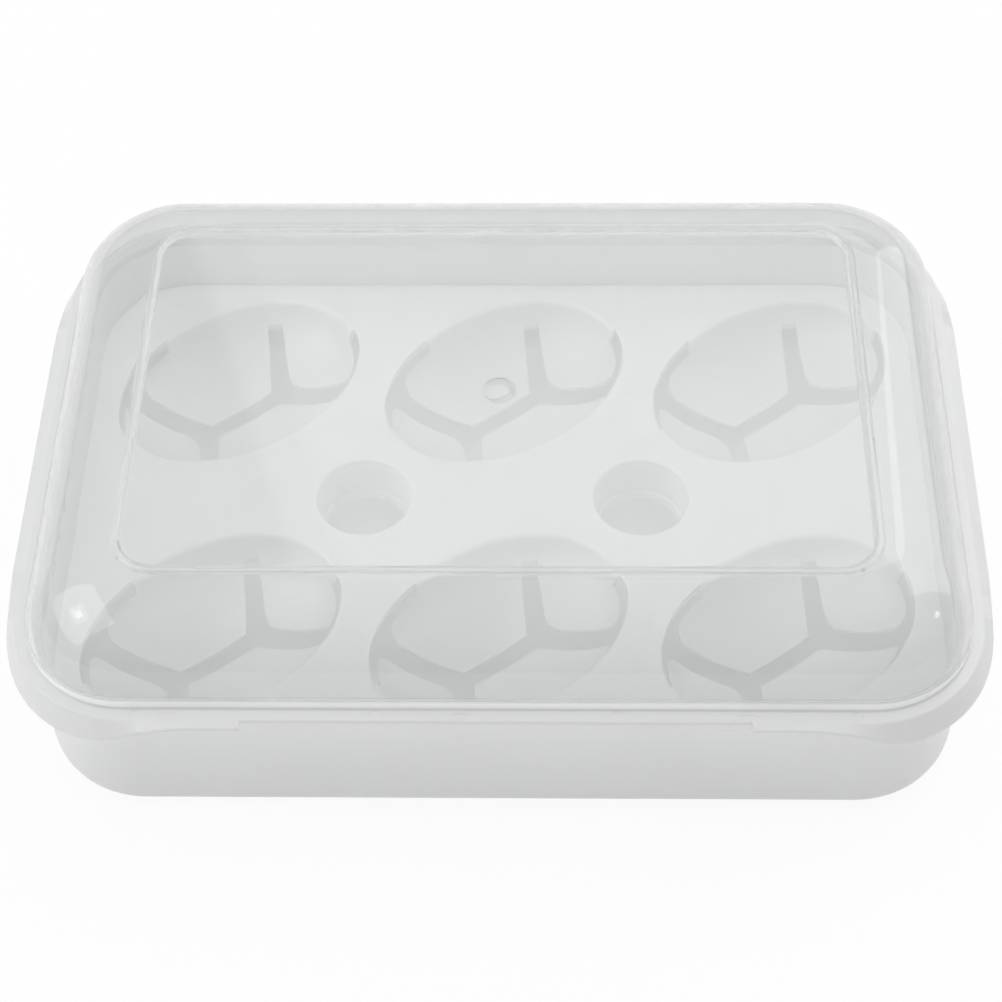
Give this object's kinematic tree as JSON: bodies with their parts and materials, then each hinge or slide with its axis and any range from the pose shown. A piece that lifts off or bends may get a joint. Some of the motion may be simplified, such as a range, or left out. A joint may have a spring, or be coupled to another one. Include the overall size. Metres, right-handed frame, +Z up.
{
  "type": "egg box",
  "caption": "Lidded egg keeper: rounded tub, lift-out tray with slotted, slanted egg seats and finger holes, and a clear domed lid with turned-down corner ears.",
  "frame": {"origin": "middle of the box's footprint, on the plane of the base's flat underside", "axes": "+Z up, +X along the long side to the right, +Y from the front, where the lid's lip has its thumb gap, to the back"},
  "size_m": [0.2142, 0.1516, 0.0633],
  "materials": {
    "milky_plastic": "smooth satin, cloudy translucent polypropylene",
    "tray_plastic": "smooth satin, cloudy translucent polypropylene",
    "clear_plastic": "glossy, clear polypropylene with a faint haze"
  },
  "bodies": {
    "base": {"base": "milky_plastic"},
    "egg_tray": {"egg_tray": "tray_plastic"},
    "lid": {"lid": "clear_plastic"}
  },
  "joints": [
    {"name": "tray_lift", "type": "slide", "parent": "base", "child": "egg_tray", "axis": [0, 0, 1], "range_m": [0, 0.06]},
    {"name": "lid_lift", "type": "slide", "parent": "egg_tray", "child": "lid", "axis": [0, 0, 1], "range_m": [0, 0.06]}
  ]
}
